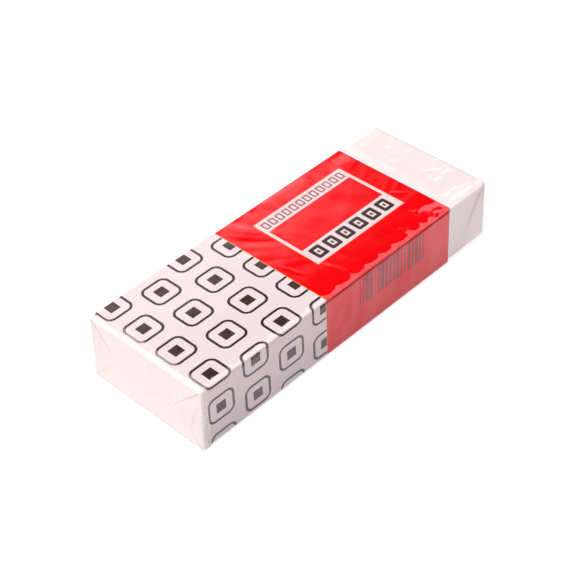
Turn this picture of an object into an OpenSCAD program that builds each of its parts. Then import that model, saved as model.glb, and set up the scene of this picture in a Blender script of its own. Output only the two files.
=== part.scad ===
// Wrapped eraser: a white vinyl block in a folded card sleeve, over-wrapped in clear film.
// X runs along the block, with the printed near end at -X and the bare far end at +X.
// Y runs across and Z is up. The origin is the centre of the underside.

/* [Block] */
// Length of the vinyl block, along its underside
block_l = 60.7; // [40:0.1:80]
// Width of the vinyl block
block_w = 22; // [17:0.2:30]
// Height of the vinyl block
block_h = 10; // [7:0.1:13]
// Radius of the block's long edges
long_edge_r = 0.2; // [0.1:0.1:1.5]
// Radius of the edges round the block's two cut ends
cut_edge_r = 0.2; // [0.1:0.05:0.8]
// How far the near cut leans in from its foot to its top edge
near_lean = 0.5; // [0:0.05:1.2]

/* [Card sleeve] */
// Length of block that the sleeve leaves bare at the far end
bare_l = 8.9; // [4:0.2:20]
// How far the block's foot stands out of the sleeve at the near end
sleeve_inset = 1.25; // [0.1:0.05:5]
// Length of sleeve at its near edge that is printed with a pattern on white
patterned_l = 23.3; // [10:0.2:30]
// Thickness of the card
card_t = 0.22; // [0.15:0.01:0.4]
// Width of the glued overlap under the block
glue_lap = 6; // [3:0.5:7]
// How far in front of the middle of the underside the overlap's free edge lies
glue_edge_y = 2; // [-1:0.5:4]

/* [Clear film] */
// Thickness of the film
film_t = 0.04; // [0.03:0.005:0.06]
// Width of the lengthwise lap seam under the sleeve
seam_lap = 4; // [2:0.5:6]
// How far behind the middle of the underside the seam's free edge lies
seam_edge_y = 5; // [3:0.5:6]
// How far the upper end flap reaches over the lower one
flap_lap = 2.4; // [1:0.2:3]

/* [Fit] */
// Gap between the block and the card
sleeve_gap = 0.04; // [0.02:0.01:0.2]
// Gap between the film and what it is wrapped round
film_gap = 0.1; // [0.02:0.01:0.2]

/* [Hidden] */
$fn = 64;

// Plies of film over an end, from the inside out
TUCK_PLY = 0;
LOWER_PLY = 1;
UPPER_PLY = 2;

// A core is what a strip is wrapped round: [width, height, corner radius, height of its underside].
// The card's core is the block. The film's is the card, and past the card the bare block.
block_z = 2 * film_t + film_gap + 2 * card_t + sleeve_gap;
card_core = [
    block_w + 2 * sleeve_gap,
    block_h + 2 * sleeve_gap,
    long_edge_r + sleeve_gap,
    block_z - sleeve_gap
];
carded_core = [
    card_core[0] + 2 * (card_t + film_gap),
    card_core[1] + 3 * card_t + 2 * film_gap,
    card_core[2] + card_t + film_gap,
    2 * film_t
];
bare_core = [
    block_w + 2 * film_gap,
    block_h + 2 * film_gap,
    long_edge_r + film_gap,
    block_z - film_gap
];

// Places along X, with the middle of the wrapped length at nought
block_near_x = -block_l / 2;
block_far_x = block_l / 2;
near_tilt = atan(near_lean / block_h);
sleeve_near_x = block_near_x + sleeve_inset;
sleeve_far_x = block_far_x - bare_l;
red_x = sleeve_near_x + patterned_l;
film_near_x = block_near_x - film_gap;
film_far_x = block_far_x + film_gap;
film_step_x = sleeve_far_x + film_gap;

// A rectangle with round corners, centred across and standing on the first axis
module rounded_rect(w, h, r) {
    translate([r - w / 2, 0]) square([w - 2 * r, h]);
    translate([-w / 2, r]) square([w, h - 2 * r]);
    for (x = [r - w / 2, w / 2 - r], y = [r, h - r]) translate([x, y]) circle(r = r);
}

// Stands an outline up across the block and runs it along X
module along_x(from_x, to_x) {
    translate([from_x, 0, 0]) rotate([90, 0, 90]) linear_extrude(to_x - from_x) children();
}

// The outline of a core grown by one number of plies, one ply lower up to edge_y than behind it
module stepped_outline(core, ply, plies, edge_y) {
    grown = plies * ply;
    w = core[0] + 2 * grown;
    h = core[1] + 2 * grown;
    translate([0, core[3] - grown]) {
        rounded_rect(w, h, core[2] + grown);
        intersection() {
            translate([0, -ply]) rounded_rect(w, h, core[2] + grown);
            translate([-w, -ply]) square([w + edge_y, h]);
        }
    }
}

// The section of a strip wrapped once round a core, its free edge lying over its start by lap
module lapped_strip(core, ply, edge_y, lap) {
    difference() {
        stepped_outline(core, ply, 1, edge_y);
        stepped_outline(core, ply, 0, edge_y - lap);
    }
}

// The film's section round a core
module film_section(core) {
    lapped_strip(core, film_t, seam_edge_y, seam_lap);
}

// One ply of film over an end, inside the film's own outline, counted outwards from the end
module end_ply(core, end_x, ply) {
    along_x(end_x + ply * film_t, end_x + (ply + 1) * film_t) intersection() {
        stepped_outline(core, film_t, 1, seam_edge_y);
        children();
    }
}

// The wall of the film between two heights, carried past the end of the block as far as a ply
module fold_line(core, end_x, ply, low_z, high_z) {
    along_x(end_x, end_x + (ply + 1) * film_t) intersection() {
        film_section(core);
        translate([-core[0], low_z]) square([2 * core[0], high_z - low_z]);
    }
}

// The folded end: two side tucks, then a lower and an upper flap with mitred sides
module folded_end(core, end_x) {
    half_w = core[0] / 2 + film_t;
    low_z = core[3] - 2 * film_t;
    top_z = core[3] + core[1] + film_t;
    flap_l = (top_z - low_z + flap_lap) / 2;
    tip_w = half_w - flap_l;
    for (side = [0, 1]) mirror([0, side, 0]) end_ply(core, end_x, TUCK_PLY)
        translate([tip_w, low_z]) square([flap_l, top_z - low_z]);
    end_ply(core, end_x, LOWER_PLY) polygon([
        [-half_w, low_z], [half_w, low_z], [tip_w, low_z + flap_l], [-tip_w, low_z + flap_l]
    ]);
    end_ply(core, end_x, UPPER_PLY) polygon([
        [-half_w, top_z], [half_w, top_z], [tip_w, top_z - flap_l], [-tip_w, top_z - flap_l]
    ]);
    fold_line(core, end_x, LOWER_PLY, low_z, low_z + core[2]);
    fold_line(core, end_x, UPPER_PLY, top_z - core[2], top_z);
}

// The block's side view. Its near cut leans in from the foot, and all four corners are soft.
module block_side_view() {
    r = cut_edge_r;
    out = r * [-cos(near_tilt), sin(near_tilt)];
    foot = [block_near_x + near_lean * r / block_h + r / cos(near_tilt), r];
    top = [foot[0] + near_lean * (1 - 2 * r / block_h), block_h - r];
    far_foot = [block_far_x - r, r];
    far_top = [block_far_x - r, block_h - r];
    polygon([foot + out, far_foot + [r, 0], far_top + [r, 0], top + out]);
    polygon([foot - [0, r], far_foot - [0, r], far_top + [0, r], top + [0, r]]);
    for (centre = [foot, top, far_foot, far_top]) translate(centre) circle(r = r);
}

// Everything past a cut through end_x, tilted as the cut is, with the cut's upright edges softened
module past_cut(end_x, tilt) {
    translate([end_x, 0, 0]) rotate([0, tilt, 0]) translate([block_l, -block_w / 2, -block_h])
        linear_extrude(3 * block_h) rounded_rect(2 * block_l, block_w, cut_edge_r);
}

// The vinyl block: a bar with soft long edges, cut off at both ends and softened round each cut
module eraser_block() {
    color([0.97, 0.96, 0.93]) translate([0, 0, block_z]) intersection() {
        along_x(block_near_x, block_far_x) rounded_rect(block_w, block_h, long_edge_r);
        translate([0, block_w / 2, 0]) rotate([90, 0, 0]) linear_extrude(block_w) block_side_view();
        past_cut(block_near_x, near_tilt);
        mirror([1, 0, 0]) past_cut(-block_far_x, 0);
    }
}

// The card's section. Its outer edge comes round from the back and is glued down in front.
module card_section() {
    mirror([1, 0]) lapped_strip(card_core, card_t, glue_edge_y, glue_lap);
}

// The card sleeve: one strip with four folds, glued to itself under the block
module sleeve() {
    color([0.96, 0.94, 0.95]) along_x(sleeve_near_x, red_x) card_section();
    color([0.90, 0.05, 0.08]) along_x(red_x, sleeve_far_x) card_section();
}

// The clear film: a lapped tube that steps down at the sleeve's edge, folded in over both ends
module film_wrap() {
    color([0.90, 0.93, 0.95, 0.35]) {
        along_x(film_near_x, film_step_x) film_section(carded_core);
        along_x(film_step_x, film_step_x + film_t) difference() {
            stepped_outline(carded_core, film_t, 1, seam_edge_y);
            stepped_outline(bare_core, film_t, 0, seam_edge_y - seam_lap);
        }
        along_x(film_step_x, film_far_x) film_section(bare_core);
        folded_end(bare_core, film_far_x);
        mirror([1, 0, 0]) folded_end(carded_core, -film_near_x);
    }
}

eraser_block();
sleeve();
film_wrap();
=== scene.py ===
import math

import bpy
import numpy as np
from mathutils import Matrix, Vector

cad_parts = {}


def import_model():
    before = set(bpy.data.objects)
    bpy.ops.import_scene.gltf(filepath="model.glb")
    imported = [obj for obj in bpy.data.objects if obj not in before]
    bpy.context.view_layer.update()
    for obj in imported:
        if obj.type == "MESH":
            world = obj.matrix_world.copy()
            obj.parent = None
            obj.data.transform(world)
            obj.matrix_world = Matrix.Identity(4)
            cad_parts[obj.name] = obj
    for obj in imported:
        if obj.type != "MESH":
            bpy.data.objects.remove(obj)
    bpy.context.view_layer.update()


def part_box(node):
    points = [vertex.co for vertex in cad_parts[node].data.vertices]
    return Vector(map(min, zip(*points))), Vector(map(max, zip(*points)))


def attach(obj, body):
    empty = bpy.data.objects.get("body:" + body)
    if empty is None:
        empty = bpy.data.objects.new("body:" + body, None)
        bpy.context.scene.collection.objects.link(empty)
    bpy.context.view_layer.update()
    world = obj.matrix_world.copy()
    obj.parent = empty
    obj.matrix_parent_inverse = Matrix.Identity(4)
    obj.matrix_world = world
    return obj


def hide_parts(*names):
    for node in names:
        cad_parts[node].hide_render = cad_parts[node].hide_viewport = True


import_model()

MM = 0.001


def corners(node):
    """Lowest and highest corner of a CAD node, in millimetres."""
    low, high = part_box(node)
    return np.array(low) / MM, np.array(high) / MM


# Sizes from the frame, in millimetres

BLOCK_LOW, BLOCK_HIGH = corners("eraser_block")
CARD_LOW, CARD_HIGH = corners("sleeve")
FILM_LOW, FILM_HIGH = corners("film_wrap")

FILM_MID_Z = (FILM_LOW[2] + FILM_HIGH[2]) / 2

# Sizes that the boxes don't give, in millimetres

CARD_T = 0.22
CARD_FOLD_R = 0.34
FILM_FOLD_R = 0.3
BLOCK_EDGE_R = 0.4

# How far the block's near cut leans in from its foot to its top edge
NEAR_LEAN = 0.5

# The red print starts this far from the sleeve's near edge
PATTERNED_L = 23.3
RED_X = CARD_LOW[0] + PATTERNED_L

# The two free edges of the card, under the block
CARD_INNER_EDGE_Y = -4.0
CARD_OUTER_EDGE_Y = 2.0

# The film's lap seam under the sleeve, and the overlap of its end flaps
SEAM_EDGE_Y = 5.0
SEAM_LAP = 4.0
FLAP_LAP = 2.4

# How far inside the frame's box the film's even surface lies, and above the ground
FILM_REST = 0.062
FILM_REST_BELOW = 0.008

# Spacing of the points, and how many of them go round a fold
BLOCK_STEP = 0.5
BLOCK_FOLD_STEPS = 5
CARD_STEP_AROUND = 0.4
CARD_STEP_ALONG = 0.42
CARD_FOLD_STEPS = 7
FILM_STEP = 0.25
FILM_FOLD_STEPS = 6

# The card's two materials, by their slots on the mesh
PRINTED = 0
RAW = 1


# ---- noise and curves

def lattice_noise(points, cell, seed):
    """Smooth noise between -1 and 1 with one random value a cell."""
    size = 32
    rng = np.random.RandomState(seed)
    table = rng.uniform(-1.0, 1.0, (size, size, size))
    p = np.asarray(points, float) / np.asarray(cell, float)
    base = np.floor(p).astype(int)
    f = p - base
    f = f * f * f * (f * (f * 6.0 - 15.0) + 10.0)
    total = np.zeros(p.shape[:-1])
    for corner in range(8):
        bits = np.array([corner & 1, (corner >> 1) & 1, (corner >> 2) & 1])
        i = (base + bits) % size
        w = np.where(bits == 1, f, 1.0 - f)
        total += table[i[..., 0], i[..., 1], i[..., 2]] * w[..., 0] * w[..., 1] * w[..., 2]
    return total


def smooth(x, low, high):
    """0 below low, 1 above high, and smooth between them. high may be the smaller one."""
    t = np.clip((np.asarray(x, float) - low) / (high - low), 0.0, 1.0)
    return t * t * (3.0 - 2.0 * t)


def hump(x, centre, width):
    """A round bump that is 1 at its centre."""
    return np.exp(-((x - centre) / width) ** 2)


def patch(value, low, high, fade):
    """1 between two values, fading out over a length inside them."""
    return smooth(value, low, low + fade) * smooth(value, high, high - fade)


# ---- outlines

class Outline:
    """Walks round a section. It keeps the centre of each fold or the inner line of each flat,
    with the way out from there, so that one outline serves any distance outwards."""

    def __init__(self, y, z, heading):
        self.at = np.array([y, z], float)
        self.heading = math.radians(heading)
        self.inner = []
        self.out = []

    def put(self):
        """Keeps a point here, with the way out."""
        out = np.array([math.sin(self.heading), -math.cos(self.heading)])
        self.inner.append(self.at.copy())
        self.out.append(out)

    def ahead(self, length, step):
        """Walks straight on in even steps, with a point at the start of each."""
        count = max(1, int(round(length / step)))
        way = np.array([math.cos(self.heading), math.sin(self.heading)])
        for _ in range(count):
            self.put()
            self.at = self.at + way * length / count

    def turn(self, count):
        """A quarter turn to the left about the present centre."""
        for _ in range(count):
            self.put()
            self.heading += math.pi / 2 / count

    def arrays(self):
        return np.array(self.inner), np.array(self.out)


def closed_outline(low, high, radius, step, fold_steps):
    """A round-cornered rectangle, from the middle of its back side over the top and round."""
    up = (high[2] - low[2]) / 2 - radius
    over = 2 * (high[1] - radius)
    walk = Outline(high[1] - radius, (low[2] + high[2]) / 2, 90)
    for side in ((up,), (over,), (up, up), (over,)):
        for length in side:
            walk.ahead(length, step)
        walk.turn(fold_steps)
    walk.ahead(up, step)
    return walk.arrays()


def steps(low, high, step):
    """Evenly spaced values from low to high, about a step apart."""
    return np.linspace(low, high, max(2, int(round((high - low) / step)) + 1))


# ---- meshes

def linked(name, data):
    """A new object in the scene."""
    obj = bpy.data.objects.new(name, data)
    bpy.context.scene.collection.objects.link(obj)
    return obj


def mesh_object(name, verts, faces, body="root"):
    """A smooth mesh from points in millimetres, riding on a body."""
    mesh = bpy.data.meshes.new(name)
    mesh.from_pydata((verts * MM).tolist(), [], faces)
    mesh.polygons.foreach_set("use_smooth", [True] * len(mesh.polygons))
    mesh.update()
    obj = linked(name, mesh)
    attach(obj, body)
    return obj


def add_attribute(obj, name, values):
    """One number for each point of the mesh, for its material."""
    layer = obj.data.attributes.new(name, "FLOAT", "POINT")
    layer.data.foreach_set("value", np.asarray(values, np.float32).ravel())


def ring_faces(rows, cols):
    """Quads between closed rings of points."""
    faces = []
    for r in range(rows - 1):
        a = r * cols
        b = a + cols
        for c in range(cols):
            d = (c + 1) % cols
            faces.append((a + c, a + d, b + d, b + c))
    return faces


def lean_in(p, end_x):
    """How far the near cut leans in above its foot. The lean dies out a short way along the bar."""
    height = np.clip((p[..., 2] - BLOCK_LOW[2]) / (BLOCK_HIGH[2] - BLOCK_LOW[2]), 0, 1)
    return NEAR_LEAN * height * smooth(p[..., 0], end_x + 2.4, end_x + 0.1)


def capped_tube(outline, low, high, radius, edges, step):
    """Points and normals of a bar, row by row from the middle of its near end to the far one's.
    edges holds how far each end's rounding reaches along the bar and across it, as a number or as
    one number for each point of the outline."""
    inner, out = outline
    low_x, high_x = low[0], high[0]
    half_h = (high[2] - low[2]) / 2
    mid_z = (high[2] + low[2]) / 2
    medial_y = high[1] - half_h
    first_share = 0.97
    fewest_angles = 5
    arc_share = 1.6
    spread = np.linspace(first_share, 0.0, int(round(half_h / step)))[:-1]
    near_edge, far_edge = [[np.broadcast_to(v, len(inner)) for v in edge] for edge in edges]
    along = steps(0.0, 1.0, step / (high_x - low_x))[1:-1]
    points = []
    normals = []

    def ring(x, inset, lean_x, lean_out):
        """One row round the bar."""
        yz = inner + out * (radius - inset)[:, None]
        points.append(np.column_stack([x, yz]))
        n = np.column_stack([lean_x, out * lean_out[:, None]])
        normals.append(n / np.linalg.norm(n, axis=1)[:, None])

    def edge_ring(end_x, edge, way, t):
        """One row of an end's rounding, t being its angle from the end's plane."""
        reach, across = edge
        x = end_x - way * reach * (1 - math.cos(t))
        ring(x, across * (1 - math.sin(t)), way * math.cos(t) / reach, math.sin(t) / across)

    def cap(x, share, across, way):
        """One row of an end's flat, drawn in by a share towards the line across its middle."""
        yz = inner + out * (radius - across)[:, None]
        mid = np.column_stack([np.clip(yz[:, 0], -medial_y, medial_y), np.full(len(yz), mid_z)])
        yz = yz * (1 - share) + mid * share
        points.append(np.column_stack([np.full(len(yz), x), yz]))
        normals.append(np.tile([way, 0.0, 0.0], (len(yz), 1)))

    def edge_angles(edge):
        count = int(math.ceil(edge[0].max() * arc_share / step)) + 1
        return np.linspace(0.0, math.pi / 2, max(fewest_angles, count))

    for share in spread:
        cap(low_x, share, near_edge[1], -1.0)
    for t in edge_angles(near_edge):
        edge_ring(low_x, near_edge, -1.0, t)
    nought = np.zeros(len(inner))
    for share in along:
        x = (low_x + near_edge[0]) * (1 - share) + (high_x - far_edge[0]) * share
        ring(x, nought, nought, nought + 1.0)
    for t in edge_angles(far_edge)[::-1]:
        edge_ring(high_x, far_edge, 1.0, t)
    for share in spread[::-1]:
        cap(high_x, share, far_edge[1], 1.0)
    return np.array(points), np.array(normals)


def tube_faces(rows, cols):
    """The faces of a capped tube. Each end's last ring is closed by a strip across it."""
    faces = ring_faces(rows, cols)
    last = (rows - 1) * cols
    for c in range(cols // 2):
        strip = (c, (cols - c) % cols, cols - c - 1, c + 1)
        first, *rest = dict.fromkeys(strip)
        faces.append((first, *rest))
        faces.append((last + first, *(last + v for v in reversed(rest))))
    return faces


def lengths_along(points):
    """Distance of each point from the first one, along the line through them."""
    d = np.linalg.norm(np.diff(points, axis=0), axis=1)
    return np.concatenate([[0.0], np.cumsum(d)])


# ---- the vinyl block

def make_block():
    """The block, a little swollen where the sleeve leaves it bare, with slightly uneven cuts."""
    near_edge = (0.25, 0.25)
    far_edge = (0.4, 0.4)
    outline = closed_outline(BLOCK_LOW, BLOCK_HIGH, BLOCK_EDGE_R, BLOCK_STEP, BLOCK_FOLD_STEPS)
    points, normals = capped_tube(
        outline, BLOCK_LOW, BLOCK_HIGH, BLOCK_EDGE_R, (near_edge, far_edge), BLOCK_STEP)
    bare = smooth(points[..., 0], CARD_HIGH[0] + 0.1, CARD_HIGH[0] + 1.2)
    underneath = np.clip(-normals[..., 2], 0, 1) ** 2
    on_end = np.abs(normals[..., 0]) ** 2
    broad = 0.03
    fine = 0.012
    swell = 0.12
    swell_below = 0.14
    sunk_cut = 0.09
    uneven_cut = 0.04
    uneven = broad * lattice_noise(points, (7.0, 6.0, 6.0), 3) - broad
    uneven += fine * lattice_noise(points, (2.4, 2.2, 2.2), 4)
    push = uneven + bare * (swell + swell_below * underneath)
    cut = sunk_cut + uneven_cut * lattice_noise(points, (9.0, 5.0, 4.0), 5)
    push = push * (1 - on_end) - on_end * cut
    points = points + normals * push[..., None]
    points[..., 0] += lean_in(points, BLOCK_LOW[0])
    rows, cols = points.shape[:2]
    obj = mesh_object("vinyl_block", points.reshape(-1, 3), tube_faces(rows, cols))
    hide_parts("eraser_block")
    return obj


# ---- the card sleeve

def sleeve_outline(step, fold_steps):
    """The strip's section from its inner free edge under the block round to its outer one."""
    r = CARD_FOLD_R
    half_w = CARD_HIGH[1]
    low_in = CARD_LOW[2] + CARD_T
    top = CARD_HIGH[2]
    walk = Outline(CARD_INNER_EDGE_Y, low_in + r, 0)
    walk.ahead(half_w - r - CARD_INNER_EDGE_Y, step)
    walk.turn(fold_steps)
    walk.ahead(top - low_in - 2 * r, step)
    walk.turn(fold_steps)
    back_top = len(walk.inner)
    walk.ahead(2 * (half_w - r), step)
    walk.turn(fold_steps)
    walk.ahead(top - CARD_LOW[2] - 2 * r, step)
    walk.turn(fold_steps)
    walk.ahead(half_w - r + CARD_OUTER_EDGE_Y, step)
    walk.put()
    inner, out = walk.arrays()
    outer = inner + out * r
    around = lengths_along(outer)
    around = around - around[back_top] - (half_w - r)
    return inner, out, around


def card_skin(inner, out, along, radius):
    """One face of the card, row by row along it, with a slight warp that is less at the folds."""
    count = len(inner)
    yz = inner + out * radius
    p = np.array([np.column_stack([np.full(count, x), yz]) for x in along])
    n = np.concatenate([np.zeros((count, 1)), out], axis=1)[None]
    warp = 0.022 * lattice_noise(p, (11.0, 8.0, 8.0), 11) - 0.024
    flat = np.max(np.abs(out), axis=1)[None] > 0.999
    warp = np.where(flat, warp, warp * 0.5)
    return p + n * warp[..., None]


def card_faces(rows, count):
    """The faces of the card and the material of each. Its printed face comes first in the points,
    then its raw one, and the cut edges between them are raw too."""
    shift = rows * count
    faces = []
    kinds = []

    def add(face, kind):
        faces.append(face)
        kinds.append(kind)

    for r in range(rows - 1):
        for c in range(count - 1):
            a = r * count + c
            b = a + count
            add((a, a + 1, b + 1, b), PRINTED)
            add((shift + a, shift + b, shift + b + 1, shift + a + 1), RAW)
    for c in range(count - 1):
        a = c
        b = (rows - 1) * count + c
        add((a, shift + a, shift + a + 1, a + 1), RAW)
        add((b, b + 1, shift + b + 1, shift + b), RAW)
    for r in range(rows - 1):
        a = r * count
        b = a + count
        add((a, b, shift + b, shift + a), RAW)
        a += count - 1
        b += count - 1
        add((a, shift + a, shift + b, b), RAW)
    return faces, kinds


def sharpen_cut_edges(obj):
    """Marks the card's edges sharp where its faces turn by more than the folds do."""
    least_alike = 0.6
    mesh = obj.data
    owners = {}
    for poly in mesh.polygons:
        for key in poly.edge_keys:
            owners.setdefault(key, []).append(poly.normal.copy())
    flags = []
    for edge in mesh.edges:
        normals = owners.get(tuple(sorted(edge.vertices)), [])
        flags.append(len(normals) == 2 and normals[0].dot(normals[1]) < least_alike)
    sharp = mesh.attributes.new("sharp_edge", "BOOLEAN", "EDGE")
    sharp.data.foreach_set("value", flags)


def make_sleeve():
    """The card strip with its real thickness, soft folds and a glued overlap underneath."""
    inner, out, around = sleeve_outline(CARD_STEP_AROUND, CARD_FOLD_STEPS)
    along = steps(CARD_LOW[0], CARD_HIGH[0], CARD_STEP_ALONG)
    spare = 0.012
    outer = card_skin(inner, out, along, CARD_FOLD_R)
    within = card_skin(inner, out, along, CARD_FOLD_R - CARD_T + spare)
    # The cuts at the sleeve's two ends are a little uneven
    for row, way in ((0, 1.0), (-1, -1.0)):
        wave = 0.03 * (1 + lattice_noise(outer[row], (9.0, 5.0, 5.0), 13)) * way
        outer[row, :, 0] += wave
        within[row, :, 0] += wave
    rows, count = outer.shape[:2]
    verts = np.concatenate([outer.reshape(-1, 3), within.reshape(-1, 3)])
    faces, kinds = card_faces(rows, count)
    obj = mesh_object("card_sleeve", verts, faces)
    add_attribute(obj, "along", verts[:, 0])
    add_attribute(obj, "around", np.tile(around, 2 * rows))
    obj.data.polygons.foreach_set("material_index", kinds)
    sharpen_cut_edges(obj)
    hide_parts("sleeve")
    return obj


# ---- the clear film

def ruck(p, at, heading, length, width, height):
    """A short soft ridge in a plane, slightly bowed, through a place and in a direction in degrees."""
    bow = 0.12
    turn = math.radians(heading)
    dx = p[0] - at[0]
    dy = p[1] - at[1]
    along = dx * math.cos(turn) + dy * math.sin(turn)
    across = -dx * math.sin(turn) + dy * math.cos(turn)
    across += bow * length * (along / length) ** 2
    fade = smooth(np.abs(along), length * 0.5, length * 0.15)
    return height * fade * hump(across, 0.0, width)


def scatter_rucks(p, seed, count, x_range, y_range, headings, lengths, widths, height):
    """Rucks at random places and headings inside a patch."""
    rng = np.random.RandomState(seed)
    total = np.zeros(np.shape(p[0]))
    for _ in range(count):
        at = (rng.uniform(*x_range), rng.uniform(*y_range))
        shape = (rng.uniform(*headings), rng.uniform(*lengths), rng.uniform(*widths))
        total += ruck(p, at, *shape, height * rng.uniform(0.6, 1.0))
    return total


def streaks(p, heading, length, width, seed):
    """Smooth noise between -1 and 1, drawn out in one direction of the plane."""
    turn = math.radians(heading)
    along = p[0] * math.cos(turn) + p[1] * math.sin(turn)
    across = -p[0] * math.sin(turn) + p[1] * math.cos(turn)
    flat = np.zeros_like(along)
    return lattice_noise(np.stack([along, across, flat], -1), (length, width, 1.0), seed)


def fold_scallops(x, y):
    """The film rises a little towards the front fold of the top, then rolls off over it in scallops:
    round lobes that end in sharp cusps, larger towards the far end."""
    line = np.stack([x, np.zeros_like(x), np.zeros_like(x)], -1)
    lobe_l = 3.1
    rounding = 0.06
    depth = 0.092
    warped = x + 0.9 * lattice_noise(line, (4.3, 1.0, 1.0), 31)
    turns = warped / lobe_l
    cusp = 2 * np.abs(turns - np.floor(turns) - 0.5)
    fine = lattice_noise(line, (0.8, 1.0, 1.0), 33)
    far = smooth(x, RED_X + 11.0, RED_X + 19.0)
    reach = 0.06 + (0.85 + 0.25 * far) * cusp ** 1.9 + (0.05 + 0.16 * far) * fine
    crest = -(FILM_HIGH[1] - 0.36 - np.clip(reach, 0.0, 1.5))
    rise = 0.034 * smooth(y, -3.0, -9.6)
    past = np.maximum(crest - y, 0.0)
    roll = 0.088 * (np.sqrt(past * past + rounding ** 2) - rounding)
    kept = 1 - 0.8 * smooth(x, CARD_HIGH[0] - 3.2, CARD_HIGH[0] - 1.8)
    return rise - np.minimum(roll, depth) * kept


def far_sag(x, y):
    """Near the card's far edge the film sinks towards the front fold, from a ragged line on."""
    end = CARD_HIGH[0]
    across = smooth(x, end - 5.2, end - 4.4)
    ragged = 0.45 * streaks((x, y), 20, 1.0, 0.7, 34)
    start = -6.5 - 0.36 * (x - end + 4.8) + ragged
    width = 1.5 + 2.4 * smooth(x, end - 3.6, end - 2.2) + 0.4 * streaks((x, y), 60, 1.4, 1.2, 35)
    return across * (0.045 * smooth(y, -2.5, -6.2) - 0.054 * np.clip(start - y, 0, width))


def top_relief(x, y):
    """Folds and slack of the film over the top of the card, behind its front fold."""
    at = (x, y)
    end = CARD_HIGH[0]
    on_red = smooth(x, RED_X - 2.0, RED_X + 0.5)
    behind = smooth(y, -5.5, -1.0)
    fan = patch(x, RED_X - 3.0, RED_X + 7.5, 2.5) * smooth(y, -7.0, -3.0)
    bent = x - 0.47 * (9.0 - y) - 0.04 * (9.0 - y) ** 2
    push = (0.010 + 0.013 * smooth(y, 1.0, 6.0)) * fan * streaks((bent, y), 90, 5.0, 1.5, 51)
    back = smooth(y, 5.0, 7.5)
    push += 0.026 * back * on_red * streaks(at, 82, 3.4, 1.5, 52)
    strip = smooth(x, end - 4.6, end - 2.6) * behind
    push += 0.017 * strip * streaks(at, 28, 2.6, 0.8, 53)
    push += 0.028 * on_red * behind * streaks(at, 30, 5.0, 3.2, 54)
    push += 0.010 * (1 - on_red) * behind * streaks(at, 35, 4.5, 2.2, 56)
    push += 0.003 * (1 - behind) * streaks(at, -80, 6.0, 0.9, 55)
    arc = ruck(at, (end - 2.5, -3.1), heading=-50, length=3.2, width=0.3, height=0.05)
    hooks = ruck(at, (end - 8.9, -9.4), heading=70, length=1.8, width=0.2, height=0.05)
    hooks += ruck(at, (end - 8.2, -10.0), heading=15, length=1.4, width=0.2, height=0.04)
    hooks += ruck(at, (RED_X + 5.9, -8.2), heading=-80, length=5.5, width=0.35, height=0.03)
    hooks += ruck(at, (RED_X + 1.3, -3.4), heading=-76, length=5.2, width=0.25, height=0.018)
    return push + arc + hooks


def bare_relief(x, y):
    """Short diagonal rucks over the bare end, larger ones along its front and by its far corners."""
    at = (x, y)
    end = CARD_HIGH[0]
    middle = scatter_rucks(
        at, 44, 9, (end + 3.4, end + 8.2), (-5.0, -1.6), (22, 44), (1.2, 2.8), (0.4, 0.6), 0.06)
    back = scatter_rucks(
        at, 45, 7, (end + 3.0, end + 8.4), (1.5, 8.5), (-50, -20), (1.4, 3.0), (0.4, 0.7), 0.05)
    front = scatter_rucks(
        at, 46, 5, (end + 1.5, end + 6.5), (-10.4, -9.4), (-12, 14), (3.0, 5.0), (0.7, 1.0), 0.10)
    droop = -0.10 * np.clip((-8.9 + 0.16 * (x - end - 4.0) - y) / 2.4, 0, 1)
    return middle + back + front + droop + 0.02 * streaks(at, 38, 3.5, 1.2, 47)


def end_flaps(y, z):
    """How far in the outermost ply lies at a folded end, how many plies there are, and where its
    upper and lower flaps lie."""
    half_w = FILM_HIGH[1]
    high = FILM_HIGH[2]
    flap = (high + FLAP_LAP) / 2
    blur = 0.08
    ply = 0.04
    upper = smooth(np.minimum(z - (high - flap), z - high + half_w - np.abs(y)), -blur, blur)
    lower = smooth(np.minimum(flap - z, half_w - np.abs(y) - z), -blur, blur)
    tuck = smooth(np.abs(y), half_w - flap - blur, half_w - flap + blur)
    inset = (1 - upper) * (ply + ply * (1 - lower))
    return inset, upper + lower + tuck, upper, lower


def front_corner_crease(x, z):
    """A broad crease and a fine one that fan out from the far top corner, down the bare end's front."""
    down = FILM_HIGH[2] - 0.3 - z
    total = np.zeros_like(x)
    for start, lean, reach, depth in ((0.85, 0.62, 9.0, 1.0), (0.25, 0.30, 4.5, 0.4)):
        line = FILM_HIGH[0] - start - lean * down
        width = 0.34 + 0.02 * down
        fade = smooth(down, reach, reach * 0.25) * smooth(down, -0.3, 0.8)
        total += depth * fade * hump(x, line, width)
    return total


def near_end_creases(y, z):
    """Faint creases in the crushed film over the near end: a chevron and one by each side."""
    at = (y, z)
    front_leg = ruck(at, (-4.9, 4.0), heading=50, length=5.4, width=0.16, height=1.0)
    back_leg = ruck(at, (-1.4, 4.3), heading=-32, length=5.4, width=0.16, height=0.7)
    front = ruck(at, (-9.5, 4.9), heading=-69, length=9.0, width=0.2, height=1.3)
    back = ruck(at, (9.4, 6.6), heading=90, length=8.0, width=0.2, height=0.6)
    return front_leg + back_leg + front + back


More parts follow.
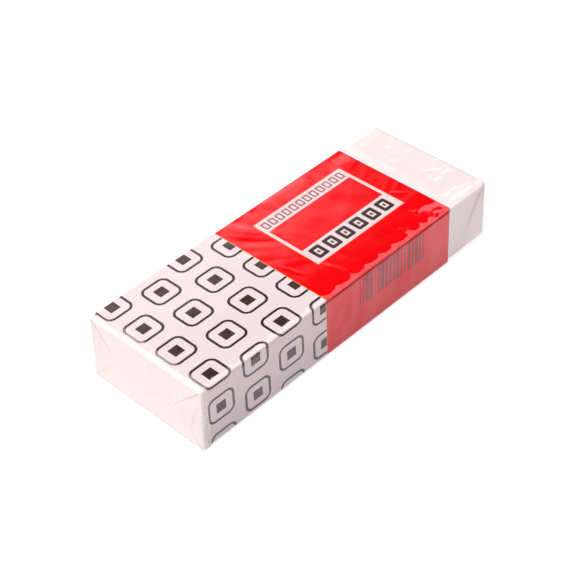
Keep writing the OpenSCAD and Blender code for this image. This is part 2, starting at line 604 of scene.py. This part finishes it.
class Sheet:
    """The film's points, the share by which each faces the top, the bottom, the front or an end,
    and the parts and folds of it that several of the functions below need."""

    def __init__(self, p, n):
        self.p = p
        self.x = p[..., 0]
        self.y = p[..., 1]
        self.z = p[..., 2]
        self.on_top = np.clip(n[..., 2], 0, 1) ** 2
        self.on_bottom = np.clip(-n[..., 2], 0, 1) ** 2
        self.on_front = np.clip(-n[..., 1], 0, 1) ** 2
        self.on_end = n[..., 0] ** 2
        self.facing_end = smooth(self.on_end, 0.5, 1.0)
        self.over_card = smooth(self.x, CARD_HIGH[0] + 0.9, CARD_HIGH[0] + 0.05)
        self.near_half = smooth(self.x, 0.5, -0.5)
        self.uncarded = smooth(self.x, CARD_LOW[0] + 0.15, CARD_LOW[0] - 0.25)
        self.below = smooth(self.z, BLOCK_LOW[2] + 2.0, BLOCK_LOW[2] + 0.5)
        self.cloud = lattice_noise(p, (4.0, 3.5, 2.6), 28)
        self.inset, self.flaps, self.upper, self.lower = end_flaps(self.y, self.z)
        self.near_face = self.near_half * self.on_end
        self.near_end = self.near_half * self.facing_end
        self.crushed = self.near_end * near_end_creases(self.y, self.z)
        self.corner_fold = front_corner_crease(self.x, self.z) * self.on_front * (1 - self.on_end)


def slack(s):
    """The film's broad slack, and on the top the relief over the card and over the bare end."""
    push = 0.020 * lattice_noise(s.p, (9.0, 7.0, 6.0), 21)
    push += 0.012 * lattice_noise(s.p, (4.2, 5.0, 3.0), 22)
    push += 0.0035 * lattice_noise(s.p, (1.6, 2.2, 1.6), 23)
    push = push * (1 - 0.55 * s.on_top * smooth(s.y, -8.0, -10.4))
    inside = patch(s.y, -FILM_HIGH[1] + 0.5, FILM_HIGH[1] - 0.3, 0.9)
    over_card = fold_scallops(s.x, s.y) + far_sag(s.x, s.y) + inside * top_relief(s.x, s.y)
    over_bare = inside * bare_relief(s.x, s.y)
    return push + s.on_top * (over_card * s.over_card + over_bare * (1 - s.over_card))


def step_down(s):
    """How far the film sinks past the card's far edge, towards the bare block."""
    end = CARD_HIGH[0]
    drop = 0.20 * s.on_top + 0.20 * (1 - s.on_top - s.on_bottom) + 0.5 * s.on_bottom
    past_card = np.clip((s.x - end) / (FILM_HIGH[0] - end), 0, 1)
    share = 0.55 * smooth(s.x, end - 0.05, end + 2.6) + 0.45 * past_card
    return drop * share * (1 - s.on_end)


def film_push(s):
    """How far the film stands out of its even resting surface."""
    push = slack(s) - step_down(s)
    seam_step = 0.036
    seam = s.on_bottom * -seam_step * smooth(s.y, SEAM_EDGE_Y - 0.1, SEAM_EDGE_Y + 0.1)
    push = push * (1 - s.on_bottom) + seam
    pillow = 0.03 * lattice_noise(s.p, (5.0, 4.0, 3.0), 25)
    pillow += 0.012 * lattice_noise(s.p, (2.0, 1.6, 1.3), 26)
    ends = 0.6 * pillow - (0.5 - 0.25 * s.near_end) * s.inset - 0.045 * s.crushed
    push = push * (1 - s.on_end) + ends * s.on_end
    return push - 0.05 * s.corner_fold


def film_plies(s):
    """How many plies give gloss: two in the lap seam, more down the front side and at the step by
    the card's far edge, and hardly any along the folds of the top and over the ends."""
    end = CARD_HIGH[0]
    half_lap = SEAM_LAP / 2
    lap = smooth(np.abs(s.y - SEAM_EDGE_Y + half_lap), half_lap + 0.1, half_lap - 0.1)
    fold_line = hump(s.z, FILM_HIGH[2] - 0.64, 0.26) * s.over_card
    on_side = s.on_front * (0.35 + 0.35 * smooth(s.x, RED_X + 4.0, RED_X - 6.0)) * s.over_card
    plies = (1 + s.on_bottom * lap + on_side) * (1 - 0.95 * (1 - s.on_top) * fold_line)
    plies = plies * (1 - s.on_end) + (0.3 + 0.15 * s.flaps) * s.on_end
    step = hump(s.x, end + 0.06, 0.2) * patch(s.z, 1.0, FILM_HIGH[2] - 0.5, 0.6)
    on_bare = smooth(s.x, end, end + 1.0)
    return plies + s.on_front * (2.4 * step - 0.6 * s.uncarded + 0.4 * on_bare)


def film_milk_and_sheen(s):
    """How milky the film is: fully over the crushed near end, less beside the block's foot there, and
    hardly at the far end. Over the card's near edge the milk is a painted highlight, and down the
    front it is painted in light streaks."""
    full = 1.3
    near_edge = CARD_LOW[0] + 0.08 * lattice_noise(s.p, (2.0, 1.6, 2.0), 27)
    far_edge = FILM_HIGH[0] - 0.35
    # Painted highlight: milk over the card's near edge, stronger towards the back
    sheen_band = smooth(s.y, 12.5, -1.0) + 0.25 * lattice_noise(s.p, (3.0, 2.6, 3.0), 29)
    milk_and_sheen = 0.32 * sheen_band * smooth(s.x, near_edge + 0.8, near_edge - 0.3) * (1 - s.on_front)
    milk_and_sheen = np.maximum(milk_and_sheen, 0.25 * smooth(s.x, far_edge - 0.1, far_edge + 0.1))
    # Painted highlight: milk over the top just past the card's near edge
    painted_sheen = patch(s.y, -7.0, 7.5, 3.0) * smooth(s.x, near_edge + 1.0, near_edge + 0.3)
    milk_and_sheen = np.maximum(milk_and_sheen, 0.32 * painted_sheen * s.on_top)
    milk_and_sheen = milk_and_sheen * (1 - s.on_end) + s.on_end * 0.06 * (1 + s.cloud)
    milk_and_sheen = np.maximum(milk_and_sheen, full * s.near_face)
    milk_and_sheen = np.maximum(milk_and_sheen, s.uncarded * (0.95 * s.below + 0.5 * s.on_front * (1 - s.below)))
    at = (s.x, s.z)
    # Painted light streaks: milk down the front side over the card
    painted_streaks = streaks(at, 82, 6.0, 0.9, 57) + 0.6 * streaks(at, 35, 3.0, 1.3, 58)
    milk_and_sheen += 0.05 * s.on_front * s.over_card * np.clip(0.35 + painted_streaks, 0, 1.2)
    return np.clip(milk_and_sheen, 0, full)


def film_shade_and_tone(s):
    """How much painted shade darkens the film: along the flaps' edges, in the corner's fold and in the
    creases of the near end, and a painted contact shadow at its foot. Evenly over that end it also
    takes a darker tone."""
    # Painted shade along the flaps' edges, in the corner's fold and in the near end's creases
    flap_edges = 4 * s.upper * (1 - s.upper) + 4 * s.lower * (1 - s.lower) * (1 - s.upper)
    shade_and_tone = flap_edges * s.facing_end
    shade_and_tone = shade_and_tone * (0.5 - 0.46 * s.near_end) + s.corner_fold + 0.22 * s.crushed
    # Painted contact shadow along the foot of the near end
    foot_shade = s.uncarded * (0.26 * s.below + 0.5 * smooth(s.z, 0.42, 0.15))
    foot_shade *= np.maximum(s.on_end, s.on_front)
    crushed_tone = (0.27 + 0.05 * s.cloud) * s.near_face
    return np.clip(np.maximum(shade_and_tone + crushed_tone, foot_shade), 0, 1)


def film_edges(outline, low, high):
    """How far each end's rounding reaches along and across. The near one is softer at the top and
    down the front."""
    upward = outline[1][:, 1]
    drop = np.clip((high[2] - FILM_FOLD_R - outline[0][:, 1]) / (high[2] - low[2]), 0, 1)
    beside = np.clip(-outline[1][:, 0], 0, 1) * drop
    near_edge = (0.5 + 0.4 * upward + 0.7 * beside, 0.34 + 0.22 * upward + 0.1 * beside)
    far_edge = (0.35, 0.3)
    return near_edge, far_edge


def make_film():
    """The film as one closed skin, just inside the frame's box."""
    low = FILM_LOW + FILM_REST
    high = FILM_HIGH - FILM_REST
    low[2] = FILM_LOW[2] + FILM_REST_BELOW
    margin = 0.001
    outline = closed_outline(low, high, FILM_FOLD_R, FILM_STEP, FILM_FOLD_STEPS)
    edges = film_edges(outline, low, high)
    p, n = capped_tube(outline, low, high, FILM_FOLD_R, edges, FILM_STEP)
    sheet = Sheet(p, n)
    p = p + n * film_push(sheet)[..., None]
    p[..., 0] += lean_in(p, FILM_LOW[0])
    p = np.clip(p, FILM_LOW + margin, FILM_HIGH - margin)
    rows, cols = p.shape[:2]
    obj = mesh_object("clear_film", p.reshape(-1, 3), tube_faces(rows, cols))
    add_attribute(obj, "plies", film_plies(sheet))
    # Milk, and milk laid on as painted highlight, for the film's material
    add_attribute(obj, "milk_and_sheen", film_milk_and_sheen(sheet))
    # Painted shade and the near end's tone, for the film's material
    add_attribute(obj, "shade_and_tone", film_shade_and_tone(sheet))
    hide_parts("film_wrap")
    return obj


# ---- node helpers

class Graph:
    """Adds nodes to one tree. A value may be a number, a colour or another node's output."""

    def __init__(self, tree, kind="ShaderNodeOutputMaterial"):
        self.tree = tree
        self.tree.nodes.clear()
        self.output = self.node(kind)

    def end(self, shader):
        self.join(self.output.inputs["Surface"], shader)

    def node(self, kind, **settings):
        made = self.tree.nodes.new(kind)
        for key, value in settings.items():
            setattr(made, key, value)
        return made

    def join(self, socket, value):
        if isinstance(value, bpy.types.NodeSocket):
            self.tree.links.new(value, socket)
        else:
            socket.default_value = value

    def fed(self, kind, *values, **settings):
        """The output of a node whose first inputs take these values."""
        made = self.node(kind, **settings)
        for socket, value in zip(made.inputs, values):
            self.join(socket, value)
        return made.outputs[0]

    def math(self, operation, *values):
        return self.fed("ShaderNodeMath", *values, operation=operation)

    def add(self, a, b):
        return self.math("ADD", a, b)

    def sub(self, a, b):
        return self.math("SUBTRACT", a, b)

    def mul(self, a, b):
        return self.math("MULTIPLY", a, b)

    def largest(self, a, b):
        return self.math("MAXIMUM", a, b)

    def smallest(self, a, b):
        return self.math("MINIMUM", a, b)

    def flip(self, a):
        return self.math("SUBTRACT", 1.0, a)

    def size(self, a):
        return self.math("ABSOLUTE", a)

    def spread(self, value, low, high, to_low=0.0, to_high=1.0, kind="SMOOTHSTEP"):
        """Maps low to to_low and high to to_high, smoothly unless kind says otherwise."""
        ends = (low, high, to_low, to_high)
        return self.fed("ShaderNodeMapRange", value, *ends, interpolation_type=kind)

    def attribute(self, name):
        made = self.node("ShaderNodeAttribute", attribute_type="GEOMETRY", attribute_name=name)
        return made.outputs["Fac"]

    def position(self):
        return self.node("ShaderNodeTexCoord").outputs["Object"]

    def apart(self, vector):
        """A vector's three numbers."""
        made = self.node("ShaderNodeSeparateXYZ")
        self.join(made.inputs[0], vector)
        return made.outputs

    def scaled(self, vector, scale):
        made = self.node("ShaderNodeMapping")
        self.join(made.inputs["Vector"], vector)
        made.inputs["Scale"].default_value = scale
        return made.outputs["Vector"]

    def noise(self, vector, scale, detail=2.0, roughness=0.5):
        """Noise of one feature in 1/scale millimetres, as a number round 0.5."""
        made = self.node("ShaderNodeTexNoise")
        self.join(made.inputs["Vector"], vector)
        made.inputs["Scale"].default_value = scale / MM
        made.inputs["Detail"].default_value = detail
        made.inputs["Roughness"].default_value = roughness
        return made.outputs["Fac"]

    def random(self, number):
        """A number between 0 and 1 that stays the same for the same input."""
        made = self.node("ShaderNodeTexWhiteNoise", noise_dimensions="1D")
        self.join(made.inputs["W"], number)
        return made.outputs["Value"]

    def mix(self, share, a, b):
        made = self.node("ShaderNodeMix", data_type="RGBA")
        self.join(made.inputs[0], share)
        self.join(made.inputs[6], a)
        self.join(made.inputs[7], b)
        return made.outputs[2]

    def bump(self, height, strength, distance):
        made = self.node("ShaderNodeBump")
        made.inputs["Strength"].default_value = strength
        made.inputs["Distance"].default_value = distance * MM
        self.join(made.inputs["Height"], height)
        return made.outputs["Normal"]

    def surface(self, tint, roughness, normal, gloss):
        """A plain shaded surface."""
        made = self.node("ShaderNodeBsdfPrincipled")
        self.join(made.inputs["Base Color"], tint)
        self.join(made.inputs["Roughness"], roughness)
        self.join(made.inputs["Normal"], normal)
        self.join(made.inputs["Specular IOR Level"], gloss)
        return made

    def mix_shaders(self, share, a, b):
        return self.fed("ShaderNodeMixShader", share, a, b)

    def seen(self):
        """1 for the camera's rays, and 1 for those and for the rays of gloss and of the film."""
        path = self.node("ShaderNodeLightPath")
        by_camera = path.outputs["Is Camera Ray"]
        by_any = self.largest(by_camera, path.outputs["Is Transmission Ray"])
        return by_camera, self.largest(by_any, path.outputs["Is Glossy Ray"])


def new_material(name):
    material = bpy.data.materials.new(name)
    material.use_nodes = True
    return material, Graph(material.node_tree)


def colour(r, g, b):
    return (r, g, b, 1.0)


WHITE = colour(1.0, 1.0, 1.0)


# ---- vinyl

def vinyl_material():
    """White vinyl: matt, a little see-through in its surface, with faint flow marks and pits."""
    material, g = new_material("white_vinyl")
    place = g.position()
    cloud = g.noise(place, 0.12, 3.0)
    tint = g.mix(cloud, colour(0.985, 0.818, 0.796), colour(0.995, 0.845, 0.826))
    grain = g.noise(place, 1.6, 4.0, 0.6)
    drag = g.noise(g.scaled(place, (1.0, 0.12, 1.0)), 1.1, 2.0)
    height = g.add(g.mul(grain, 0.6), g.mul(drag, 0.4))
    rough = g.spread(grain, 0.3, 0.7, 0.5, 0.66, "LINEAR")
    shader = g.surface(tint, rough, g.bump(height, 0.25, 0.03), 0.15)
    shader.inputs["Subsurface Weight"].default_value = 0.5
    shader.inputs["Subsurface Radius"].default_value = (0.95, 1.0, 1.0)
    shader.inputs["Subsurface Scale"].default_value = 1.1 * MM
    g.end(shader.outputs[0])
    return material


# ---- the print on the card

PAPER = colour(0.925, 0.782, 0.806)
PAPER_DARKER = colour(0.91, 0.764, 0.79)
FRAME_WHITE = colour(0.93, 0.74, 0.765)
INK = colour(0.044, 0.0215, 0.017)
RED = colour(0.985, 0.0032, 0.0065)
RED_DARKER = colour(0.965, 0.0028, 0.006)
RED_BROWN = colour(0.36, 0.06, 0.035)
MISPRINT = colour(0.98, 0.42, 0.10)
STRIPE_GREY = colour(0.22, 0.05, 0.06)
# Painted shade: the dark red of the line along the front fold
FOLD_SHADE_RED = colour(0.30, 0.004, 0.008)
# Painted shade: the dark red of the band along the card's far edge
EDGE_SHADE_RED = colour(0.28, 0.01, 0.03)
SLEEVE_L = float(CARD_HIGH[0] - CARD_LOW[0])

# Where the front side starts, as a distance round the sleeve from the middle of the top
FOLD_V = float(CARD_HIGH[1]) + 0.27

# The pattern of rounded squares, in millimetres
RING_PITCH_X = 6.81
RING_PITCH_Y = 6.58
RING_FIRST_X = 2.46
RING_FIRST_Y = -10.15
RING_STAGGER = 2.76
RING_HALF = (2.5, 2.33)
RING_LINE = 0.42
RING_CORNER = 1.3
CENTRE_HALF = (0.88, 0.86)
CENTRE_CORNER = 0.05

# The red panel's white frame
PANEL_X = (28.25, 47.0)
PANEL_AROUND = (-7.92, 5.21)
WINDOW_X = (28.79, 46.45)
WINDOW_AROUND = (-5.25, 1.46)

# The plain marks in the frame's two bars: their reach along, and the middle of each bar
MARKS_X = (28.95, 46.15)
SMALL_MARKS_X = (28.75, 46.45)
LOWER_BAR = 3.3
UPPER_BAR = -6.55

# The field of stripes on the front side, along and down from the fold
STRIPES_X = (30.25, 44.55)
STRIPES_DOWN = (0.5, 5.6)
STRIPE_PITCH = 0.84

# Small faults of the print, across their lines: at the red's start and round the frame; then
# bands of painted shade, across their lines, along the front fold and at the card's far edge
MISPRINT_BEFORE = 0.13
MISPRINT_AFTER = 0.04
MISPRINT_ROUND = 0.12
FOLD_SHADE_BAND = (0.04, 0.34)
EDGE_SHADE_L = 0.17


class Print:
    """The print's shapes, as distances and as numbers between 0 and 1. x is the distance along the
    sleeve from its near edge, and v the one round it from the middle of the top to the front."""

    def __init__(self, g):
        self.g = g
        self.x = g.sub(g.attribute("along"), float(CARD_LOW[0]))
        self.v = g.attribute("around")
        self.bleed = g.mul(g.sub(g.noise(g.position(), 3.2, 2.0), 0.5), 0.05)

    def inside(self, distance):
        """1 where the distance to a shape is below nought, with the slight bleed of ink."""
        soft = 0.035
        return self.g.spread(self.g.add(distance, self.bleed), soft, -soft)

    def box(self, x, v, half_x, half_v, corner):
        """Distance to a rectangle with round corners round the place where x and v are nought."""
        g = self.g
        qx = g.sub(g.size(x), half_x - corner)
        qv = g.sub(g.size(v), half_v - corner)
        outside_x = g.largest(qx, 0.0)
        outside_v = g.largest(qv, 0.0)
        far = g.math("SQRT", g.add(g.mul(outside_x, outside_x), g.mul(outside_v, outside_v)))
        near = g.smallest(g.largest(qx, qv), 0.0)
        return g.sub(g.add(far, near), corner)

    def between(self, value, low, high):
        """Distance to the strip between two values."""
        half = (high - low) / 2
        return self.g.sub(self.g.size(self.g.sub(value, low + half)), half)

    def rectangle(self, x_range, v_range):
        return self.g.largest(self.between(self.x, *x_range), self.between(self.v, *v_range))

    def outline_of(self, distance, line):
        """Distance to a line of some width just inside a shape's edge."""
        return self.g.sub(self.g.size(self.g.add(distance, line / 2)), line / 2)

    def repeat(self, value, first, pitch):
        """Distance from the nearest of evenly spaced places, and that place's number."""
        g = self.g
        turns = g.math("DIVIDE", g.sub(value, first), pitch)
        number = g.math("ROUND", turns)
        return g.mul(g.sub(turns, number), pitch), number

    def pattern(self):
        """Rounded squares with a solid centre, in columns that are staggered in turn."""
        g = self.g
        x, column = self.repeat(self.x, RING_FIRST_X, RING_PITCH_X)
        odd = g.math("FLOORED_MODULO", column, 2.0)
        v, _ = self.repeat(g.sub(self.v, g.mul(odd, RING_STAGGER)), RING_FIRST_Y, RING_PITCH_Y)
        ring = self.outline_of(self.box(x, v, *RING_HALF, RING_CORNER), RING_LINE)
        centre = self.box(x, v, *CENTRE_HALF, CENTRE_CORNER)
        return self.inside(ring), self.inside(centre)

    def row_of_marks(self, x_range, v_middle, count, half, corner, line):
        """A row of plain rounded squares, each a ring of some width."""
        g = self.g
        pitch = (x_range[1] - x_range[0]) / count
        x, _ = self.repeat(self.x, x_range[0] + pitch / 2, pitch)
        v = g.sub(self.v, v_middle)
        mark = self.outline_of(self.box(x, v, *half, corner), line)
        within = self.between(self.x, *x_range)
        return self.inside(g.largest(mark, within))


def patterned_colour(p, place):
    """The near part of the sleeve: paper with rounded squares in slightly uneven ink."""
    g = p.g
    ring, centre = p.pattern()
    worn = g.spread(g.noise(place, 1.2, 3.0), 0.25, 0.75, 0.965, 1.0, "LINEAR")
    paper = g.mix(g.noise(place, 0.25, 3.0), PAPER_DARKER, PAPER)
    inked = g.mix(g.mul(ring, worn), paper, INK)
    return g.mix(g.mul(centre, worn), inked, INK)


def red_colour(p, place):
    """The red part of the sleeve, with its frame, its plain marks, its small faults and its painted
    shade.
    """
    g = p.g
    red = g.mix(g.noise(place, 0.3, 3.0), RED_DARKER, RED)
    panel = p.rectangle(PANEL_X, PANEL_AROUND)
    window = p.rectangle(WINDOW_X, WINDOW_AROUND)
    frame_line = g.mul(p.inside(panel), g.flip(p.inside(window)))
    misprint = p.inside(g.largest(g.sub(panel, MISPRINT_ROUND), g.mul(panel, -1.0)))
    bold = p.row_of_marks(MARKS_X, LOWER_BAR, 6, (1.08, 1.3), 0.34, 0.62)
    dot = p.row_of_marks(MARKS_X, LOWER_BAR, 6, (0.2, 0.3), 0.1, 0.6)
    small = p.row_of_marks(SMALL_MARKS_X, UPPER_BAR, 12, (0.54, 0.78), 0.1, 0.25)
    # Painted shade: a dark line along the front fold
    fold_shade = p.inside(p.between(p.v, FOLD_V + FOLD_SHADE_BAND[0], FOLD_V + FOLD_SHADE_BAND[1]))
    # Painted shade: a dark band along the card's far edge
    cut = p.inside(g.sub(SLEEVE_L - EDGE_SHADE_L, p.x))
    layers = (
        (misprint, 0.55, MISPRINT), (frame_line, 1.0, FRAME_WHITE), (bold, 0.97, INK),
        (dot, 0.9, INK), (small, 1.0, RED_BROWN), (side_stripes(p), 0.78, STRIPE_GREY),
        (fold_shade, 0.85, FOLD_SHADE_RED), (cut, 0.6, EDGE_SHADE_RED))
    for shape, strength, ink in layers:
        red = g.mix(g.mul(shape, strength), red, ink)
    return red


def print_colour(g):
    """The colour of the printed face of the card."""
    p = Print(g)
    place = g.position()
    is_red = p.inside(g.sub(PATTERNED_L, p.x))
    edge = p.inside(p.between(p.x, PATTERNED_L - MISPRINT_BEFORE, PATTERNED_L + MISPRINT_AFTER))
    shade = g.mix(is_red, patterned_colour(p, place), red_colour(p, place))
    return g.mix(g.mul(edge, 0.6), shade, MISPRINT)


def side_stripes(p):
    """A plain field of upright stripes in several widths on the front side of the red."""
    g = p.g
    down = p.between(p.v, FOLD_V + STRIPES_DOWN[0], FOLD_V + STRIPES_DOWN[1])
    field = g.largest(p.between(p.x, *STRIPES_X), down)
    field = g.spread(field, 0.15, -0.15)
    x, number = p.repeat(p.x, STRIPES_X[0], STRIPE_PITCH)
    half = g.add(0.04, g.mul(g.random(number), 0.36))
    bars = g.spread(g.sub(g.size(x), half), 0.12, -0.12)
    return g.mul(field, bars)


def card_material():
    """The printed face of the card: smooth, with a faint grain."""
    material, g = new_material("printed_card")
    fibre = g.noise(g.scaled(g.position(), (0.5, 1.0, 1.0)), 2.2, 4.0, 0.6)
    rough = g.spread(fibre, 0.3, 0.7, 0.48, 0.6, "LINEAR")
    shader = g.surface(print_colour(g), rough, g.bump(fibre, 0.2, 0.012), 0.0)
    g.end(shader.outputs[0])
    return material


def raw_card_material():
    """The inside and the cut edges of the card: grey-white board with fibres."""
    material, g = new_material("raw_card")
    fibre = g.noise(g.scaled(g.position(), (0.4, 1.0, 1.0)), 1.8, 5.0, 0.65)
    tint = g.mix(fibre, colour(0.80, 0.66, 0.65), colour(0.93, 0.80, 0.79))
    shader = g.surface(tint, 0.8, g.bump(fibre, 0.4, 0.02), 0.1)
    g.end(shader.outputs[0])
    return material


# ---- film

def film_material():
    """Clear film: it lets the light through and adds its own thin gloss, more where plies lap.
    Crushed film is milky. Painted shade darkens the clear part and the milk at the creases, folds
    and foot."""
    material, g = new_material("clear_film")
    place = g.position()
    shade_and_tone = g.attribute("shade_and_tone")
    normal = g.bump(g.noise(g.scaled(place, (1.0, 0.55, 1.0)), 0.55, 3.0, 0.55), 0.3, 0.03)
    refraction = 1.5
    fresnel = g.fed("ShaderNodeFresnel", refraction, normal)
    outside = g.flip(g.node("ShaderNodeNewGeometry").outputs["Backfacing"])
    share = g.mul(fresnel, g.mul(g.attribute("plies"), outside))
    gloss = g.node("ShaderNodeBsdfAnisotropic")
    gloss.inputs["Color"].default_value = colour(1.0, 0.90, 0.96)
    rough = g.spread(g.noise(place, 0.4, 2.0), 0.3, 0.7, 0.03, 0.07, "LINEAR")
    g.join(gloss.inputs["Roughness"], rough)
    g.join(gloss.inputs["Normal"], normal)
    # Painted shade: the attribute darkens the clear part and the milk
    dimmed = g.mix(shade_and_tone, colour(0.995, 0.99, 0.99), colour(0.80, 0.74, 0.72))
    milky = g.mix(shade_and_tone, colour(1.0, 0.92, 0.895), colour(0.84, 0.64, 0.62))
    clear = g.fed("ShaderNodeBsdfTransparent", dimmed)
    milk = g.fed("ShaderNodeBsdfDiffuse", milky)
    cloudy = g.spread(g.noise(place, 0.7, 3.0), 0.3, 0.7, 0.8, 1.15, "LINEAR")
    # Part of the milk is a painted highlight over the card's near edge and light streaks down the front
    milk_share = g.mul(g.mul(g.attribute("milk_and_sheen"), cloudy), outside)
    body = g.mix_shaders(milk_share, clear, milk)
    g.end(g.mix_shaders(g.smallest(share, 1.0), body, gloss.outputs[0]))
    return material


# ---- stage, light and camera

def quad(name, points):
    """A flat piece of the stage, from its corners in metres."""
    mesh = bpy.data.meshes.new(name)
    mesh.from_pydata(points, [], [(0, 1, 2, 3)])
    return linked(name, mesh)


def floor():
    """A pale floor. The camera and the gloss see it as white, but it keeps the object's shadow.
    Along the foot of the object's front side its colour for bounced light is darker: painted shade for
    the lower part of that side."""
    size = 1.6
    below = 0.00002
    shadow_l = 13.0
    ground = FILM_LOW[2] * MM - below
    corners_xy = ((-size, -size), (size, -size), (size, size), (-size, size))
    obj = quad("floor", [(x, y, ground) for x, y in corners_xy])
    material, g = new_material("floor")
    by_camera, seen = g.seen()
    x, y, _ = g.apart(g.position())
    ahead = g.sub(g.mul(y, -1.0 / MM), float(FILM_HIGH[1]))
    along = g.mul(x, 1.0 / MM)
    # Painted shade: a darker floor patch along the front side's foot, seen only by bounced light
    foot_shade = g.mul(g.spread(ahead, -0.5, 0.0), g.spread(ahead, shadow_l, 0.0))
    foot_shade = g.mul(foot_shade, g.spread(along, float(CARD_HIGH[0]) + 8.0, float(CARD_HIGH[0]) - 3.0))
    foot_shade = g.mul(foot_shade, g.spread(along, float(FILM_LOW[0]) - 2.0, float(FILM_LOW[0]) + 1.0))
    bounce = g.mix(foot_shade, colour(0.60, 0.60, 0.60), colour(0.24, 0.24, 0.24))
    diffuse = g.fed("ShaderNodeBsdfDiffuse", g.mix(by_camera, bounce, colour(0.34, 0.34, 0.34)))
    strength = g.add(g.mul(seen, 0.52), g.mul(by_camera, 0.26))
    glow = g.fed("ShaderNodeEmission", WHITE, strength)
    g.end(g.fed("ShaderNodeAddShader", diffuse, glow))
    obj.data.materials.append(material)


def reflection_card(name, low, high, strength, soft=0.0, upright=False):
    """A studio card that only gloss sees, level or upright across Y, between two corners in metres.
    soft is how far, in metres, a level one fades out inside its edges."""
    low = Vector(low)
    high = Vector(high)
    middle = (low + high) / 2
    half = (high - low) / 2
    rise = half.z if upright else 0
    run = 0 if upright else half.y
    shape = [(-half.x, -run, -rise), (half.x, -run, -rise), (half.x, run, rise), (-half.x, run, rise)]
    obj = quad(name, shape)
    obj.location = middle
    material, g = new_material(name)
    shader = g.fed("ShaderNodeEmission", WHITE, strength)
    if soft:
        x, y, _ = g.apart(g.position())
        fall_x = g.spread(g.size(x), half.x, half.x - soft)
        fall_y = g.spread(g.size(y), half.y, half.y - soft)
        clear = g.fed("ShaderNodeBsdfTransparent", WHITE)
        shader = g.mix_shaders(g.mul(fall_x, fall_y), clear, shader)
    g.end(shader)
    obj.data.materials.append(material)
    obj.visible_camera = False
    obj.visible_diffuse = False
    obj.visible_transmission = False
    obj.visible_shadow = False
    obj.visible_volume_scatter = False


def reflections():
    """What the film's gloss shows: a wide lamp overhead, dark cards and another lamp beyond it, and
    in front a lamp for the folds over a low dark card. h is how high the level ones hang, and
    those that overlap lie a little apart."""
    h = 0.311
    reflection_card("lamp_front", (-0.40, -0.36, h), (0.50, 0.186, h), 2.4)
    reflection_card("lamp_near", (-0.60, 0.186, h), (0.118, 0.46, h), 2.4)
    reflection_card("dark_back", (0.118, 0.186, h + 0.001), (0.56, 0.282, h + 0.001), 0.0, 0.048)
    reflection_card("dark_back_core", (0.118, 0.186, h + 0.002), (0.56, 0.236, h + 0.002), 0.0)
    reflection_card("dark_far", (0.292, 0.20, h + 0.003), (0.56, 0.32, h + 0.003), 0.3, 0.03)
    reflection_card("dark_bare", (0.312, 0.255, h + 0.0035), (0.64, 0.36, h + 0.0035), 1.35, 0.025)
    reflection_card("lamp_back", (-0.60, 0.270, h + 0.004), (0.56, 0.60, h + 0.004), 2.5, 0.08)
    reflection_card("dark_front", (0.05, -0.46, 0.0), (1.1, -0.46, 0.10), 0.0, 0.0, True)
    reflection_card("lamp_edge", (0.05, -0.461, 0.08), (1.1, -0.461, 0.50), 3.2, 0.0, True)


def lamp(name, direction, strength, angle):
    """A distant lamp in a direction, as wide as an angle in degrees. The gloss doesn't show it."""
    data = bpy.data.lights.new(name, "SUN")
    data.energy = strength * math.pi
    data.angle = math.radians(angle)
    obj = linked(name, data)
    obj.rotation_euler = Vector(direction).to_track_quat("Z", "Y").to_euler()
    obj.visible_glossy = False


def world(ambient):
    """An even grey light. The camera and the gloss see it as white."""
    made = bpy.data.worlds.new("studio")
    made.use_nodes = True
    g = Graph(made.node_tree, "ShaderNodeOutputWorld")
    _, seen = g.seen()
    strength = g.spread(seen, 0.0, 1.0, ambient, 1.0, "LINEAR")
    g.end(g.fed("ShaderNodeBackground", WHITE, strength))
    bpy.context.scene.world = made


def camera():
    """At the photograph's angle: over the near front corner, a little under half way up. Lengths
    are in millimetres from the middle of the object."""
    azimuth = math.radians(-44.057)
    elevation = math.radians(41.253)
    roll = math.radians(-3.167)
    distance = 215.24
    aside = -1.74
    upward = -1.955
    aim_x = 0.15
    flat = math.cos(elevation)
    back = Vector((math.sin(azimuth) * flat, -math.cos(azimuth) * flat, math.sin(elevation)))
    level = Vector((0, 0, 1)).cross(back).normalized()
    rise = back.cross(level)
    right = level * math.cos(roll) + rise * math.sin(roll)
    up = rise * math.cos(roll) - level * math.sin(roll)
    middle = Vector((aim_x, 0, float(FILM_MID_Z)))
    at = middle + right * aside + up * upward + back * distance
    data = bpy.data.cameras.new("camera")
    data.sensor_width = 36.0
    data.lens = 91.45
    data.clip_start = 0.01
    data.clip_end = 10.0
    turn = Matrix((right, up, back)).transposed().to_4x4()
    obj = linked("camera", data)
    obj.matrix_world = Matrix.Translation(at * MM) @ turn
    bpy.context.scene.camera = obj


# ---- putting it together

camera()
block = make_block()
block.data.materials.append(vinyl_material())
sleeve = make_sleeve()
sleeve.data.materials.append(card_material())
sleeve.data.materials.append(raw_card_material())
film = make_film()
film.data.materials.append(film_material())

floor()
reflections()
world(ambient=0.5)
lamp("key", (-0.56, -0.09, 0.82), strength=0.69, angle=35)
bpy.context.scene.view_settings.view_transform = "Standard"
